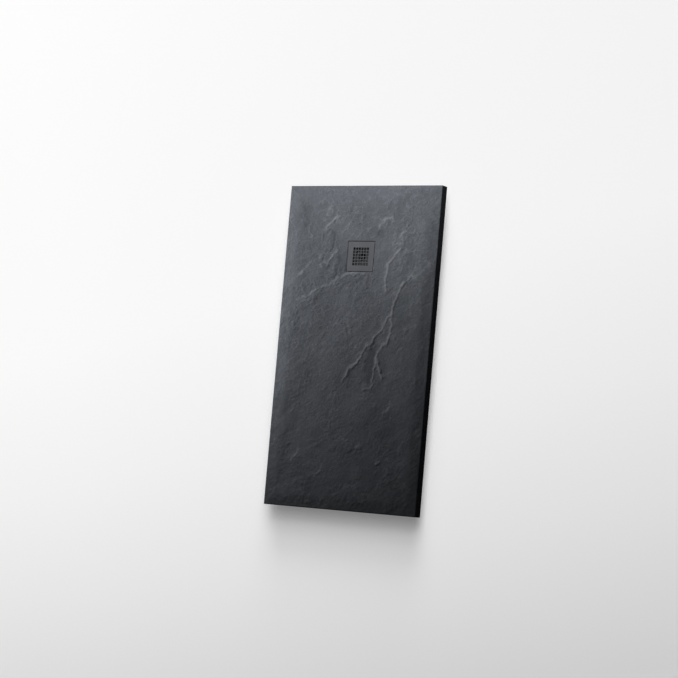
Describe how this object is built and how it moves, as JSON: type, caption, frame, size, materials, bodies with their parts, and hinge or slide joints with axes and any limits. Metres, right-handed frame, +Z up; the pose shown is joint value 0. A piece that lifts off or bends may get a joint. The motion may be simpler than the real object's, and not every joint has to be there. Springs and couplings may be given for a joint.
{
  "type": "shower tray",
  "caption": "Low rectangular shower tray of cast mineral resin with a slate-look face falling to a square drain cover, complete with a lift-out strainer and waste trap.",
  "frame": {"origin": "centre of the slab's underside, the face that is bedded on the floor", "axes": "+Z up out of the face, +Y along the length to the head end with the drain, +X to the right"},
  "size_m": [0.7, 1.3, 0.104],
  "materials": {
    "slate_gelcoat": "matt pigmented coat with a split-slate relief",
    "cast_resin": "bare mineral-filled resin, finely rough",
    "cover_coat": "matt powder coat in the tray's colour",
    "stainless_steel": "plain bright stainless steel",
    "blackened_steel": "satin black coat against corrosion",
    "pad_rubber": "soft matt rubber",
    "seal_rubber": "matt sealing rubber",
    "waste_plastic": "dark moulded plastic, satin",
    "trap_plastic": "off-white moulded plastic, satin",
    "insert_plastic": "dark grey moulded plastic, satin",
    "slip_ring_plastic": "smooth slippery plastic",
    "insert_brass": "turned brass"
  },
  "bodies": {
    "tray": {"slab_core": "cast_resin", "gelcoat_skin": "slate_gelcoat", "waste_flange": "waste_plastic", "flange_gasket": "seal_rubber", "flange_screws": "blackened_steel", "threaded_inserts": "insert_brass", "lower_gasket": "seal_rubber", "trap_collar": "waste_plastic", "trap_bowl": "trap_plastic", "outlet_washer": "seal_rubber", "outlet_slip_ring": "slip_ring_plastic", "outlet_nut": "trap_plastic"},
    "cover": {"drain_cover": "cover_coat", "cover_studs": "stainless_steel", "cover_pads": "pad_rubber"},
    "strainer": {"hair_strainer": "waste_plastic", "strainer_knob": "waste_plastic"},
    "tube": {"dip_tube": "insert_plastic", "dip_tube_o_ring": "seal_rubber"},
    "cup": {"seal_cup": "insert_plastic"}
  },
  "joints": [
    {"name": "cover_lift", "type": "slide", "parent": "tray", "child": "cover", "axis": [0, 0, 1], "range_m": [0, 0.33]},
    {"name": "strainer_lift", "type": "slide", "parent": "tray", "child": "strainer", "axis": [0, 0, 1], "range_m": [0, 0.265]},
    {"name": "tube_lift", "type": "slide", "parent": "tray", "child": "tube", "axis": [0, 0, 1], "range_m": [0, 0.2]},
    {"name": "cup_lift", "type": "slide", "parent": "tray", "child": "cup", "axis": [0, 0, 1], "range_m": [0, 0.12]}
  ],
  "couplings": [
    {"joint": "strainer_lift", "follows": "cover_lift", "ratio": 0.8},
    {"joint": "tube_lift", "follows": "cover_lift", "ratio": 0.6},
    {"joint": "cup_lift", "follows": "cover_lift", "ratio": 0.35}
  ]
}
